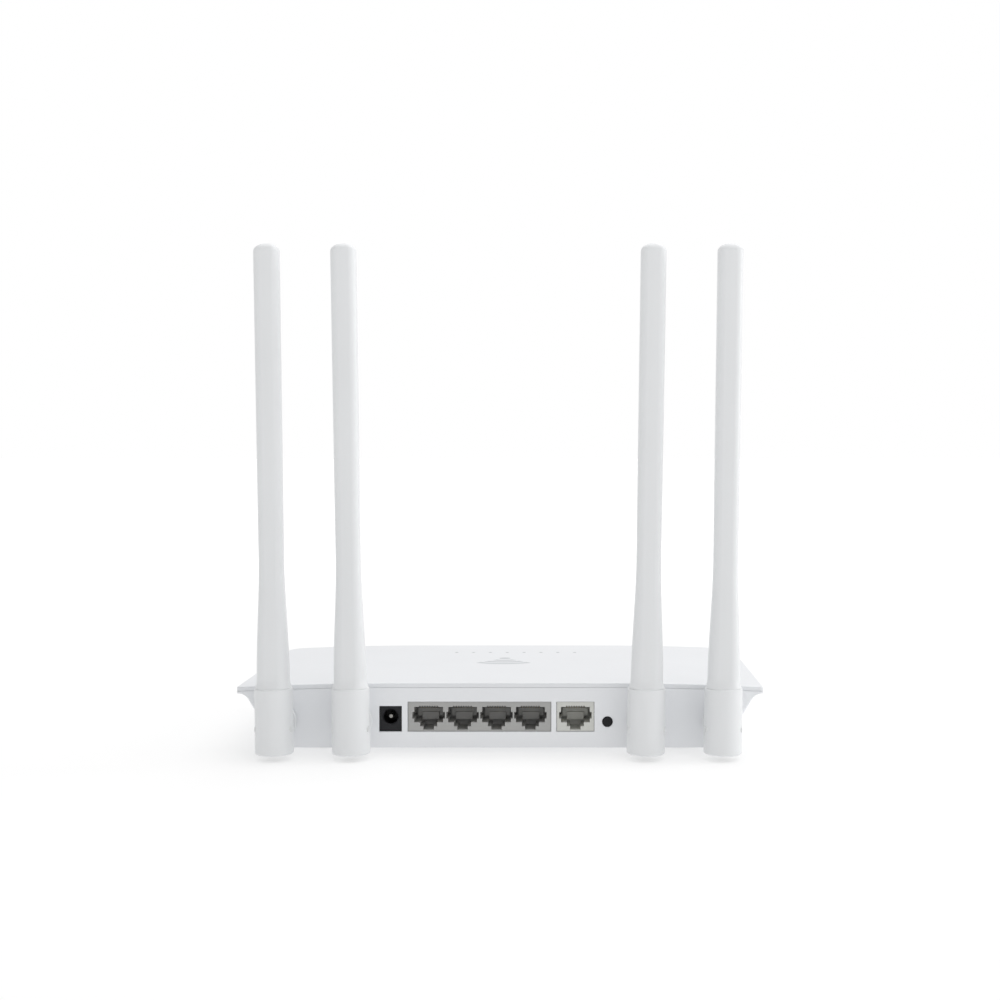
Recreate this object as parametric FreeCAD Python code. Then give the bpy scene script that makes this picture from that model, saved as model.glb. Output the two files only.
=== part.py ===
import FreeCAD, Part
import math
import os

# Wireless router with four jointed antennas, in millimetres.
# +X runs along the port panel, +Y from the panel to the front edge, +Z up.
# Shapes are drawn with y = 0 on the port panel's outer face and the table at z = 0.
# keep() then moves them so that the origin is the middle of the router's footprint.

V = FreeCAD.Vector
X = V(1, 0, 0)
Y = V(0, 1, 0)
Z = V(0, 0, 1)

# ---- case ----
case_width = 217.0
case_depth = 129.0
case_height = 24.6  # underside to the seam, on the centre line
foot_gap = 2.3  # table to underside
cover_thickness = 1.9
crown_flat = 45.0  # half width of the level middle of the cover
crown_drop = 1.6  # how far the cover falls from there to the side tips
flare_angle = 31.4  # lower wall, off the vertical
flare_radius = 5.5  # sweep from the lower wall out to the lip
lip_height = 0.8  # at the side tips
underside_round = 1.5
front_corner = 7.0
rear_corner = 1.2
wall = 2.0
floor = 2.0
seam_gap = 0.15
seam_depth = 0.3
cover_edge_round = 0.5
skirt_height = 3.0
skirt_thickness = 1.6
fit_gap = 0.3  # between pieces that only sit beside each other

# ---- feet, vents, label and wall hooks ----
foot_radius = 6.0
foot_sink = 0.5
foot_edge_round = 0.6
foot_edge = 32.5  # case side to the middle of a foot
foot_rear_y = 30.0
foot_front_edge = 31.0
vent_count = 13
vent_pitch = 6.0
vent_width = 2.0
vent_length = 24.0
vent_y = 84.0
label_size = (70.0, 26.0)
label_thickness = 0.15
label_y = 32.0
hook_x = 45.0
hook_y = 60.0
hook_head_radius = 3.75
hook_neck_radius = 1.9
hook_travel = 8.0

# ---- screws and posts ----
post_radius = 3.5
post_edge = 33.5
post_rear_y = 13.5
post_front_edge = 45.0
post_pad = 1.5
post_pad_radius = 4.5
screw_radius = 1.3
screw_hole_gap = 0.35
screw_head_radius = 2.7
screw_head_height = 1.5
screw_length = 12.0
cross_depth = 0.6  # share of the head's height
cross_reach = 0.6  # share of its radius
cross_half_width = 0.11  # share of its radius
head_recess = 1.8
pilot_spare = 1.0
thread_gap = 0.02

# ---- main board ----
board_width = 104.0
board_front_edge = 20.7
board_thickness = 1.6
board_rear_y = 2.8
board_lift = 3.05  # above the case floor
stand_radius = 3.0
stand_edge = 5.5  # board edge to the middle of a stand
stand_rear_y = 36.0
stand_front_edge = 10.3
board_screw_radius = 1.1
board_screw_head = 2.3

# ---- small parts on the board: sizes are across, front to back, high ----
can_size = (26.0, 30.0, 3.2)
can_skin = 0.3
can_x = 30.0
can_y = 66.0
processor_size = (14.0, 14.0, 1.2)
processor_y = 62.0
sink_size = (20.0, 20.0, 8.0)
sink_plate = 2.0
sink_gaps = 5
sink_gap = 2.2
sink_pitch = 3.6
memory_chips = ((8.0, 42.0, 9.0, 13.0, 1.1), (-10.0, 44.0, 5.3, 5.3, 1.6))
transformer_size = (13.0, 9.5, 5.0)
transformer_y = 26.0
capacitors = (
    (-45.1, 22.5, 4.0, 11.5),
    (-34.6, 22.0, 4.0, 11.5),
    (-14.0, 84.0, 2.5, 6.0),
    (14.0, 84.0, 2.5, 6.0),
)
inductor_size = (6.0, 6.0, 3.0)
inductor_x = (-42.0, -33.0)
inductor_y = 46.0
crystal = (19.0, 48.0, 3.2, 2.5, 0.8)

# ---- network jacks ----
jack_recess = 0.4
jack_gap = 0.15
jack_height = 12.0
jack_depth = 15.8
jack_cavity = 13.4
port_pitch = 13.97
port_count = 4
lan_centre_x = -8.5
lan_width = 58.8
wan_centre_x = 31.0
wan_width = 15.3
port_floor = 3.6  # jack underside to the plug's lower face
port_width = 11.9
port_height = 6.35
guide_width = 13.4
guide_height = 2.7
guide_floor = 5.15
latch_width = 7.0
latch_floor = 1.95
tongue_width = 4.3
tongue_floor = 0.6
contact_count = 8
contact_pitch = 1.02
contact_width = 0.4
contact_thickness = 0.3
contact_slot = 0.55
contact_slot_height = 0.45
contact_bend_y = 1.8
contact_dip = 2.0
contact_reach = 7.4
insert_y = 10.5  # jack face to the moulded block that carries the contacts
insert_step = 0.7
insert_low = 3.15
insert_high = 6.3
insert_frame_width = 10.6
insert_frame_low = 4.65
insert_frame_high = 8.0

# ---- power jack ----
power_x = -45.1
power_width = 9.0
power_height = 10.25
power_depth = 13.5
power_bore_radius = 2.95
power_bore_depth = 10.0
power_bore_z = 5.95
power_pin_radius = 1.0
power_pin_back = 1.4
power_pin_round = 0.5
power_spring_width = 2.0
power_spring_leaf = 0.3
power_spring_rise = 1.1
power_spring_y = 2.3
power_spring_top_y = 6.0
power_slot_depth = 0.7
power_mouth = 0.5

# ---- reset button ----
button_x = 44.2
button_z = 12.9
button_radius = 2.05
button_guide_gap = 0.15
button_proud = 0.5
button_edge_round = 0.4
button_travel = 0.6
button_flange_radius = 3.2
button_flange = 1.0
button_rest_gap = 0.1
button_stem_radius = 1.2
switch_front_y = 9.5
switch_depth = 3.6
switch_width = 6.2
plunger_radius = 1.0
plunger_gap = 0.1
plunger_out = 1.4
plunger_in = 1.6

# ---- lights ----
light_count = 8
light_pitch = 8.0
light_middle_x = 2.9
light_edge = 28.0  # front of the case to the row of lights
light_radius = 0.6
light_chip = (1.6, 0.9, 0.7)
light_bar_height = 3.0
light_bar_width = 4.0
light_gap = 0.4
light_hole_gap = 0.1

# ---- leads from the board to the antennas ----
lead_straight = 20.0
lead_spread = 4.0  # the outer lead lies this much further forward
lead_bend_y = 38.0
lead_bend_drop = 1.6
lead_corner_gap = 4.0  # beside the board
lead_corner_y = 52.0
lead_corner_rise = 1.0
lead_land_edge = 8.5
lead_land_y = 58.0

# ---- antennas ----
antenna_edge = 18.0  # case side to the outer antenna
antenna_spacing = 31.0
antenna_lean = 0.92  # each stands this many degrees outwards
antenna_axis_gap = 13.5  # port panel to the antenna's middle
swivel_z = 13.9
antenna_foot_z = foot_gap
antenna_top_z = 208.0
barrel_radius = 7.75
barrel_top_radius = 7.6
barrel_top_z = 29.0
barrel_foot_round = 1.0
barrel_shoulder_round = 0.7
pin_offset = 2.5  # tilt pin, from the barrel's middle away from the panel
pin_radius = 1.25
pin_inset = 0.05
pin_gap = 0.05
eye_radius = 3.2
tongue_half = 3.0
boss_radius = 7.65
boss_panel_radius = 6.7
boss_edge_round = 0.5
shaft_radius = 3.8
shaft_gap = 0.05
shaft_chamfer = 0.4
collar_radius = 5.8
collar_length = 3.0
ring_groove = 0.5
ring_thickness = 1.2
ring_lip = 1.05  # the ring stands this far out from the shaft
ring_mouth_gap = 0.8
shaft_end = 1.0
lead_bore_radius = 1.5
lead_radius = 0.9
lead_wall = 2.5  # from the lead's channel to the boss's outer face
spigot_radius = 6.0
spigot_length = 5.5
neck_width = 12.9
neck_depth = 11.0
neck_foot_width = 14.2
neck_foot_depth = 13.2
neck_foot_height = 3.0
blade_start_z = 80.0
blade_width = 10.0
blade_tip_width = 10.4
blade_depth = 8.0
blade_corner = 0.82  # corner radius as a share of the half depth
tip_round = 2.0
sleeve_wall = 1.4
rib_z = 72.0
rib_thickness = 2.0
choke_radius = 2.2
choke_bore = 1.2
choke_z = 60.0
choke_length = 26.0
whip_radius = 0.7
whip_length = 50.0

# ---- worked out from the values above ----
half_width = case_width / 2
base_z = foot_gap
floor_z = base_z + floor
seam_z = base_z + case_height
top_z = seam_z + cover_thickness
lip_z = seam_z - crown_drop - lip_height
slope = math.radians(flare_angle)
sweep_z = lip_z - flare_radius * (1 - math.sin(slope))
wall_across = wall / math.cos(slope)
cavity_inset = flare_radius * math.cos(slope) + wall_across
board_z = floor_z + board_lift
board_top = board_z + board_thickness
board_front_y = case_depth - board_front_edge
stand_x = board_width / 2 - stand_edge
stand_front_y = board_front_y - stand_front_edge
foot_x = half_width - foot_edge
foot_front_y = case_depth - foot_front_edge
post_x = half_width - post_edge
post_front_y = case_depth - post_front_edge
light_y = case_depth - light_edge
outer_x = half_width - antenna_edge
inner_x = outer_x - antenna_spacing
antenna_x = (-outer_x, -inner_x, inner_x, outer_x)
axis_y = -antenna_axis_gap
pin_y = axis_y - pin_offset
foot_sweep = barrel_radius + pin_offset
pin_z = antenna_foot_z + foot_sweep
boss_face_y = axis_y + barrel_radius + fit_gap
ring_y = wall + collar_length + fit_gap
ring_radius = shaft_radius + ring_lip
shaft_end_y = ring_y + ring_thickness + shaft_end
rear_reach = antenna_axis_gap + barrel_radius
middle_y = (case_depth - rear_reach) / 2
BIG = 400.0


# ---- helpers ----
def box(x0, x1, y0, y1, z0, z1):
    return Part.makeBox(x1 - x0, y1 - y0, z1 - z0, V(x0, y0, z0))


def rod(radius, start, length, direction=Z):
    return Part.makeCylinder(radius, length, start, direction)


def rounded_outline(x0, x1, y0, y1, rear_r, front_r, z):
    """Closed wire of a rectangle whose corners are arcs, level at z."""
    corners = [
        (x0 + rear_r, y0 + rear_r, rear_r, 180),
        (x1 - rear_r, y0 + rear_r, rear_r, 270),
        (x1 - front_r, y1 - front_r, front_r, 0),
        (x0 + front_r, y1 - front_r, front_r, 90),
    ]
    arcs = []
    for cx, cy, r, start in corners:
        points = []
        for turn in (start, start + 45, start + 90):
            a = math.radians(turn)
            points.append(V(cx + r * math.cos(a), cy + r * math.sin(a), z))
        arcs.append((points, Part.Arc(*points).toShape()))
    edges = []
    for i, (points, arc) in enumerate(arcs):
        edges.append(arc)
        edges.append(Part.makeLine(points[2], arcs[(i + 1) % 4][0][0]))
    return Part.Wire(edges)


def case_outline(inset, z, rear_inset=0.0):
    return rounded_outline(
        inset - half_width,
        half_width - inset,
        rear_inset,
        case_depth - inset,
        rear_corner,
        front_corner,
        z,
    )


def loft(outlines, ruled=False):
    return Part.makeLoft(outlines, True, ruled)


def joined(shapes):
    return shapes[0].fuse(shapes[1:]).removeSplitter()


def crown_block(z):
    """Everything below the crowned surface that is at height z on the centre line."""
    run = half_width - crown_flat
    radius = (run * run + crown_drop * crown_drop) / (2 * crown_drop)
    reach = run + 1.0

    def at(x):
        return z - radius + math.sqrt(radius * radius - x * x)

    right = [V(crown_flat + t, -1, at(t)) for t in (0, reach / 2, reach)]
    left = [V(-p.x, p.y, p.z) for p in right]
    low_right = V(right[2].x, -1, -1)
    low_left = V(left[2].x, -1, -1)
    edges = [
        Part.makeLine(left[0], right[0]),
        Part.Arc(*right).toShape(),
        Part.makeLine(right[2], low_right),
        Part.makeLine(low_right, low_left),
        Part.makeLine(low_left, left[2]),
        Part.Arc(left[2], left[1], left[0]).toShape(),
    ]
    return Part.Face(Part.Wire(edges)).extrude(V(0, case_depth + 2, 0))


def mirrored_pairs(x, ys):
    return [(side * x, y) for y in ys for side in (-1, 1)]


def keep(name, shapes):
    """Write one named piece, in the router's own frame."""
    os.makedirs("parts", exist_ok=True)
    solids = shapes if isinstance(shapes, list) else [shapes]
    moved = [s.translated(V(0, -middle_y, 0)) for s in solids]
    whole = moved[0] if len(moved) == 1 else Part.makeCompound(moved)
    whole.exportStep("parts/" + name + ".step")


# ---- lower case ----
def line_inset(z):
    return flare_radius * math.cos(slope) + (sweep_z - z) * math.tan(slope)


def lower_shell():
    """Outer form: rounded underside, straight lower wall, sweep out to the lip."""
    turn = math.pi / 2 - slope
    steps = 4
    round_z = base_z + underside_round * (1 - math.sin(slope))
    round_inset = line_inset(round_z) + underside_round * math.cos(slope)
    under = []
    for i in range(steps + 1):
        a = turn * i / steps
        inset = round_inset - underside_round * math.sin(a)
        under.append(case_outline(inset, base_z + underside_round * (1 - math.cos(a))))
    sweep = []
    for i in range(steps + 1):
        a = turn * (1 - i / steps)
        inset = flare_radius * math.sin(a)
        sweep.append(case_outline(inset, lip_z - flare_radius * (1 - math.cos(a))))
    lower = [case_outline(line_inset(z), z) for z in (round_z, sweep_z)]
    lip = [case_outline(0, z) for z in (lip_z, top_z)]
    stack = [loft(under), loft(lower, True), loft(sweep), loft(lip, True)]
    return joined(stack).common(crown_block(seam_z))


def cavity():
    low = line_inset(floor_z) + wall_across
    slant = loft(
        [case_outline(low, floor_z, wall), case_outline(cavity_inset, sweep_z, wall)],
        True,
    )
    rim = [case_outline(cavity_inset, z, wall) for z in (sweep_z, top_z)]
    return joined([slant, loft(rim, True)])


def panel_openings():
    """Cut-outs through the port panel for the jacks and the button."""
    through = (-1.0, wall + 1.0)
    z0 = board_top - jack_gap
    z1 = board_top + jack_height + jack_gap
    cuts = []
    for centre, width in ((lan_centre_x, lan_width), (wan_centre_x, wan_width)):
        half = width / 2 + jack_gap
        cuts.append(box(centre - half, centre + half, *through, z0, z1))
    half = power_width / 2 + jack_gap
    power_top = board_top + power_height + jack_gap
    cuts.append(box(power_x - half, power_x + half, *through, z0, power_top))
    hole = button_radius + button_guide_gap
    cuts.append(rod(hole, V(button_x, -1, button_z), wall + 2, Y))
    return cuts


def antenna_collars():
    start = V(0, wall / 2, swivel_z)
    length = wall / 2 + collar_length
    return [rod(collar_radius, start + X * x, length, Y) for x in antenna_x]


def antenna_holes():
    start = V(0, -1, swivel_z)
    length = wall + collar_length + 2
    return [rod(shaft_radius + shaft_gap, start + X * x, length, Y) for x in antenna_x]


def hook_slots():
    cuts = []
    for side in (-1, 1):
        centre = V(side * hook_x, hook_y, base_z - 1)
        cuts.append(rod(hook_head_radius, centre, floor + 2))
        cuts.append(rod(hook_neck_radius, centre + Y * hook_travel, floor + 2))
        cuts.append(
            box(
                centre.x - hook_neck_radius,
                centre.x + hook_neck_radius,
                hook_y,
                hook_y + hook_travel,
                base_z - 1,
                floor_z + 1,
            )
        )
    return cuts


def vents():
    cuts = []
    for i in range(vent_count):
        x = (i - (vent_count - 1) / 2) * vent_pitch
        slot = box(
            x - vent_width / 2,
            x + vent_width / 2,
            vent_y - vent_length / 2,
            vent_y + vent_length / 2,
            base_z - 1,
            floor_z + 1,
        )
        upright = [e for e in slot.Edges if abs(e.tangentAt(e.FirstParameter).z) > 0.9]
        cuts.append(slot.makeFillet(vent_width * 0.49, upright))
    return cuts


def screw_recesses(x, ys):
    cuts = []
    for px, py in mirrored_pairs(x, ys):
        low = V(px, py, base_z - 1)
        cuts.append(rod(screw_head_radius + fit_gap, low, head_recess + 1))
        cuts.append(rod(screw_radius + screw_hole_gap, low, floor + post_pad + 2))
    return cuts


def foot_recesses():
    cuts = []
    for px, py in mirrored_pairs(foot_x, (foot_rear_y, foot_front_y)):
        cuts.append(rod(foot_radius, V(px, py, base_z - 1), 1 + foot_sink))
    return cuts


def make_bottom_case():
    pads = []
    for px, py in mirrored_pairs(post_x, (post_rear_y, post_front_y)):
        start = V(px, py, base_z + floor / 2)
        pads.append(rod(post_pad_radius, start, floor / 2 + post_pad))
    for px, py in mirrored_pairs(stand_x, (stand_rear_y, stand_front_y)):
        start = V(px, py, base_z + floor / 2)
        pads.append(rod(stand_radius, start, floor / 2 + board_lift))
    shell = lower_shell().cut(cavity()).fuse(pads + antenna_collars())
    pilots = []
    for px, py in mirrored_pairs(stand_x, (stand_rear_y, stand_front_y)):
        start = V(px, py, floor_z - pilot_spare)
        pilots.append(rod(board_screw_radius + thread_gap, start, board_lift + 2))
    half_x, half_y = label_size[0] / 2, label_size[1] / 2
    label_bed = box(
        -half_x - fit_gap,
        half_x + fit_gap,
        label_y - half_y - fit_gap,
        label_y + half_y + fit_gap,
        base_z - 1,
        base_z + label_thickness,
    )
    cuts = panel_openings() + antenna_holes() + hook_slots() + vents() + pilots
    cuts += screw_recesses(post_x, (post_rear_y, post_front_y)) + foot_recesses()
    cuts.append(label_bed)
    keep("bottom_case", shell.cut(cuts).removeSplitter())


# ---- top cover ----
def make_top_cover():
    outline = [case_outline(0, z) for z in (base_z, top_z + 1)]
    plate = loft(outline, True).common(crown_block(top_z)).cut(crown_block(seam_z))
    top_edges = []
    for edge in plate.Edges:
        middle = edge.valueAt((edge.FirstParameter + edge.LastParameter) / 2)
        level = abs(edge.tangentAt(edge.FirstParameter).z) < 0.2
        upper = middle.z > seam_z + cover_thickness / 2 - crown_drop
        raised = plate.distToShape(Part.Vertex(middle + Z * 0.05))[0] > 0.01
        if level and upper and raised and not crease(edge, plate):
            top_edges.append(edge)
    plate = plate.makeFillet(cover_edge_round, top_edges)
    inner = [case_outline(seam_depth, z, seam_depth) for z in (base_z, top_z)]
    rebate = crown_block(seam_z + seam_gap).cut(loft(inner, True))
    rim_in = cavity_inset + fit_gap
    rear_in = wall + fit_gap
    skirt_low = seam_z - crown_drop - skirt_height
    outer = [case_outline(rim_in, z, rear_in) for z in (skirt_low, seam_z + 0.5)]
    far = rim_in + skirt_thickness
    far_rear = rear_in + skirt_thickness
    hollow = [case_outline(far, z, far_rear) for z in (skirt_low - 1, top_z)]
    skirt = loft(outer, True).cut(loft(hollow, True)).common(crown_block(seam_z + 0.5))
    posts = []
    pilots = []
    post_low = floor_z + post_pad
    for px, py in mirrored_pairs(post_x, (post_rear_y, post_front_y)):
        post = rod(post_radius, V(px, py, post_low), top_z - post_low)
        posts.append(post.common(crown_block(seam_z + 0.5)))
        start = V(px, py, post_low - 1)
        reach = screw_length - floor - post_pad + head_recess + pilot_spare + 1
        pilots.append(rod(screw_radius + thread_gap, start, reach))
    holes = []
    for x in light_places():
        start = V(x, light_y, seam_z - 1)
        holes.append(rod(light_radius + light_hole_gap, start, cover_thickness + 2))
    whole = plate.cut(rebate).fuse([skirt] + posts)
    keep("top_cover", whole.cut(pilots + holes).removeSplitter())


def crease(edge, plate):
    """True where a flat and a curved stretch of the crown meet smoothly."""
    faces = plate.ancestorsOfType(edge, Part.Face)
    normals = []
    middle = edge.valueAt((edge.FirstParameter + edge.LastParameter) / 2)
    for face in faces:
        u, v = face.Surface.parameter(middle)
        normals.append(face.normalAt(u, v))
    return normals[0].getAngle(normals[1]) < 0.1


# ---- feet, label and screws ----
def make_feet():
    feet = []
    for px, py in mirrored_pairs(foot_x, (foot_rear_y, foot_front_y)):
        foot = rod(foot_radius, V(px, py, 0), base_z + foot_sink)
        low = [e for e in foot.Edges if e.Closed and e.CenterOfMass.z < 0.1]
        feet.append(foot.makeFillet(foot_edge_round, low))
    keep("rubber_feet", feet)


def make_label():
    half_x, half_y = label_size[0] / 2, label_size[1] / 2
    top = base_z + label_thickness
    keep(
        "rating_label",
        box(-half_x, half_x, label_y - half_y, label_y + half_y, base_z, top),
    )


def screw(head_r, head_h, shank_r, length, start, up):
    """Pan-head screw with a cross recess; start is the middle of the head's face."""
    head = rod(head_r, start, head_h, up)
    shank = rod(shank_r, start, length, up)
    ends = sorted((start.z - up.z, start.z + up.z * cross_depth * head_h))
    long = cross_reach * head_r
    short = cross_half_width * head_r
    cuts = []
    for half_x, half_y in ((long, short), (short, long)):
        cuts.append(
            box(
                start.x - half_x,
                start.x + half_x,
                start.y - half_y,
                start.y + half_y,
                *ends,
            )
        )
    return head.fuse(shank).cut(cuts).removeSplitter()


def make_screws():
    case_screws = []
    for px, py in mirrored_pairs(post_x, (post_rear_y, post_front_y)):
        start = V(px, py, base_z + head_recess - screw_head_height)
        case_screws.append(
            screw(
                screw_head_radius, screw_head_height, screw_radius, screw_length, start, Z
            )
        )
    keep("case_screws", case_screws)
    board_screws = []
    for px, py in mirrored_pairs(stand_x, (stand_rear_y, stand_front_y)):
        start = V(px, py, board_top + screw_head_height)
        length = screw_head_height + board_thickness + board_lift
        board_screws.append(
            screw(
                board_screw_head, screw_head_height, board_screw_radius, length, start, -Z
            )
        )
    keep("board_screws", board_screws)


# ---- main board and what is soldered to it ----
def make_board():
    half = board_width / 2
    board = box(-half, half, board_rear_y, board_front_y, board_z, board_top)
    holes = []
    for px, py in mirrored_pairs(stand_x, (stand_rear_y, stand_front_y)):
        start = V(px, py, board_z - 1)
        holes.append(rod(board_screw_radius + 0.2, start, board_thickness + 2))
    keep("main_board", board.cut(holes))


def on_board(x, y, size_x, size_y, height):
    return box(
        x - size_x / 2,
        x + size_x / 2,
        y - size_y / 2,
        y + size_y / 2,
        board_top,
        board_top + height,
    )


def shield_can(x, y, size_x, size_y, height, skin):
    can = on_board(x, y, size_x, size_y, height)
    inner = on_board(x, y, size_x - 2 * skin, size_y - 2 * skin, height - skin)
    return can.cut(inner)


def make_components():
    wide, deep, high = can_size
    for name, x in (("left", -can_x), ("right", can_x)):
        can = shield_can(x, can_y, wide, deep, high, can_skin)
        keep("shield_can_" + name, can)
    wide, deep, chip_height = processor_size
    keep("processor", on_board(0, processor_y, *processor_size))
    room = on_board(0, processor_y, sink_size[0] + 1, sink_size[1] + 1, chip_height)
    gaps = []
    for i in range(sink_gaps):
        x = (i - (sink_gaps - 1) / 2) * sink_pitch
        gap = on_board(x, processor_y, sink_gap, sink_size[1] + 1, sink_size[2] + 1)
        gaps.append(gap.translated(Z * (chip_height + sink_plate)))
    sink = on_board(0, processor_y, *sink_size)
    keep("heat_sink", sink.cut([room] + gaps))
    keep("memory_chips", [on_board(*chip) for chip in memory_chips])
    blocks = []
    for x in (lan_centre_x - port_pitch, lan_centre_x + port_pitch, wan_centre_x):
        blocks.append(on_board(x, transformer_y, *transformer_size))
    keep("line_transformers", blocks)
    cans = []
    for x, y, radius, height in capacitors:
        cans.append(rod(radius, V(x, y, board_top), height))
    keep("capacitors", cans)
    keep("inductors", [on_board(x, inductor_y, *inductor_size) for x in inductor_x])
    keep("crystal", on_board(*crystal))


# ---- network jacks ----
def port_cavity(x):
    """The space that one plug and its latch go into, open at the jack's face."""
    y0 = jack_recess - 1
    y1 = jack_recess + jack_cavity
    z = board_top
    steps = [
        (port_width, port_floor, port_floor + port_height),
        (guide_width, guide_floor, guide_floor + guide_height),
        (latch_width, latch_floor, port_floor + 1),
        (tongue_width, tongue_floor, latch_floor + 1),
    ]
    spaces = []
    for width, low, high in steps:
        spaces.append(box(x - width / 2, x + width / 2, y0, y1, z + low, z + high))
    ceiling = z + port_floor + port_height
    for cx in contact_places(x):
        half = contact_slot / 2
        top = ceiling + contact_slot_height
        spaces.append(box(cx - half, cx + half, y0, y1, ceiling - 0.5, top))
    return spaces


def contact_insert(x):
    """Stepped block at the back of a port that carries the spring contacts."""
    y1 = jack_recess + jack_cavity + 1
    y0 = jack_recess + insert_y
    z = board_top
    half = latch_width / 2
    panel = box(x - half, x + half, y0, y1, z + insert_low, z + insert_high)
    half = insert_frame_width / 2
    y0 += insert_step
    frame = box(x - half, x + half, y0, y1, z + insert_frame_low, z + insert_frame_high)
    return [panel, frame]


def contact_places(x):
    first = x - (contact_count - 1) / 2 * contact_pitch
    return [first + i * contact_pitch for i in range(contact_count)]


def contact(x):
    """Spring wire: forward along the jack's roof, then back and down into the port."""
    ceiling = board_top + port_floor + port_height
    roof = ceiling + contact_slot_height - contact_thickness
    front = jack_recess + contact_bend_y
    back = jack_recess + jack_cavity
    half = contact_width / 2
    run = box(x - half, x + half, front, back, roof, roof + contact_thickness)
    tip_y = front + contact_reach
    tip_z = ceiling - contact_dip
    points = [
        V(x - half, front, roof),
        V(x - half, front, roof + contact_thickness),
        V(x - half, tip_y, tip_z + contact_thickness),
        V(x - half, tip_y, tip_z),
    ]
    arm = Part.Face(Part.makePolygon(points + points[:1])).extrude(X * contact_width)
    return run.fuse(arm).removeSplitter()


def make_jack(name, centre, width, ports):
    y0 = jack_recess
    z0 = board_top
    half = width / 2
    body = box(centre - half, centre + half, y0, y0 + jack_depth, z0, z0 + jack_height)
    spaces = []
    inserts = []
    wires = []
    for x in ports:
        spaces += port_cavity(x)
        inserts += contact_insert(x)
        wires += [contact(cx) for cx in contact_places(x)]
    keep(name + "_jack", body.cut(spaces).fuse(inserts).removeSplitter())
    keep(name + "_contacts", wires)


def make_jacks():
    first = lan_centre_x - (port_count - 1) / 2 * port_pitch
    ports = [first + i * port_pitch for i in range(port_count)]
    make_jack("lan", lan_centre_x, lan_width, ports)
    make_jack("wan", wan_centre_x, wan_width, [wan_centre_x])


# ---- power jack ----
def make_power_jack():
    y0 = jack_recess
    half = power_width / 2
    bore_z = board_top + power_bore_z
    top = board_top + power_height
    body = box(power_x - half, power_x + half, y0, y0 + power_depth, board_top, top)
    bore = rod(power_bore_radius, V(power_x, y0 - 1, bore_z), power_bore_depth + 1, Y)
    slot_half = power_spring_width / 2 + fit_gap / 2
    slot_low = bore_z - power_bore_radius - power_slot_depth
    bore_end = y0 + power_bore_depth
    slot = box(
        power_x - slot_half,
        power_x + slot_half,
        y0 + power_spring_y - fit_gap,
        bore_end,
        slot_low,
        bore_z,
    )
    mouth_radius = power_bore_radius + power_mouth
    start = V(power_x, y0, bore_z)
    flare = Part.makeCone(mouth_radius, power_bore_radius, power_mouth, start, Y)
    keep("power_jack", body.cut([bore, slot, flare]).removeSplitter())
    tip_y = y0 + power_pin_back
    pin = rod(power_pin_radius, V(power_x, tip_y, bore_z), bore_end - tip_y, Y)
    nose = [e for e in pin.Edges if e.Closed and e.CenterOfMass.y < tip_y + 0.1]
    keep("power_pin", pin.makeFillet(power_pin_round, nose))
    x0 = power_x - power_spring_width / 2
    front = V(x0, y0 + power_spring_y, slot_low)
    crest = V(x0, y0 + power_spring_top_y, slot_low + power_spring_rise)
    back = V(x0, bore_end, slot_low)
    upper = [p + Z * power_spring_leaf for p in (front, crest, back)]
    points = upper + [back, crest, front]
    spring = Part.Face(Part.makePolygon(points + points[:1]))
    keep("power_spring", spring.extrude(X * power_spring_width))


# ---- reset button and its switch ----
def make_button():
    at = V(button_x, 0, button_z)
    flange_y = wall + button_rest_gap
    stem_end = switch_front_y - plunger_out
    cap = rod(button_radius, at - Y * button_proud, button_proud + flange_y, Y)
    face = [e for e in cap.Edges if e.Closed and e.CenterOfMass.y < 0]
    cap = cap.makeFillet(button_edge_round, face)
    flange = rod(button_flange_radius, at + Y * flange_y, button_flange, Y)
    stem = rod(button_stem_radius, at + Y * flange_y, stem_end - flange_y, Y)
    keep("reset_cap", joined([cap, flange, stem]))
    length = plunger_out + plunger_in
    keep("reset_plunger", rod(plunger_radius, at + Y * stem_end, length, Y))
    half = switch_width / 2
    back = switch_front_y + switch_depth
    top = button_z + half
    body = box(button_x - half, button_x + half, switch_front_y, back, board_top, top)
    room = plunger_in + button_travel + plunger_gap
    hole = rod(plunger_radius + plunger_gap, at + Y * (switch_front_y - 1), room + 1, Y)
    keep("reset_switch", body.cut(hole))


# ---- lights ----
def light_places():
    first = light_middle_x - (light_count - 1) / 2 * light_pitch
    return [first + i * light_pitch for i in range(light_count)]


def make_lights():
    chips = [on_board(x, light_y, *light_chip) for x in light_places()]
    keep("light_chips", chips)
    low = board_top + light_chip[2] + light_gap
    bar_z = seam_z - light_bar_height
    bar = box(
        light_places()[0] - light_bar_width / 2,
        light_places()[-1] + light_bar_width / 2,
        light_y - light_bar_width / 2,
        light_y + light_bar_width / 2,
        bar_z,
        seam_z,
    )
    pipes = []
    for x in light_places():
        pipes.append(rod(2 * light_radius, V(x, light_y, low), seam_z - low))
        pipes.append(rod(light_radius, V(x, light_y, bar_z), top_z - bar_z))
    keep("light_guide", bar.fuse(pipes).removeSplitter())


# ---- leads from the board to the antenna shafts ----
def tube(points, radius):
    """Round lead along straight runs that tangent arcs join."""
    edges = []
    here = points[0]
    for before, corner, after in zip(points, points[1:], points[2:]):
        back = (before - corner).normalize()
        on = (after - corner).normalize()
        turn = math.pi - back.getAngle(on)
        run = min((before - corner).Length, (after - corner).Length)
        trim = 0.45 * run
        bend = trim / math.tan(turn / 2)
        start = corner + back * trim
        end = corner + on * trim
        inwards = (back + on).normalize()
        middle = corner + inwards * (bend / math.cos(turn / 2) - bend)
        edges.append(Part.makeLine(here, start))
        edges.append(Part.Arc(start, middle, end).toShape())
        here = end
    edges.append(Part.makeLine(here, points[-1]))
    direction = points[1] - points[0]
    profile = Part.Wire(Part.makeCircle(radius, points[0], direction))
    return Part.Wire(edges).makePipeShell([profile], True, True)


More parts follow.
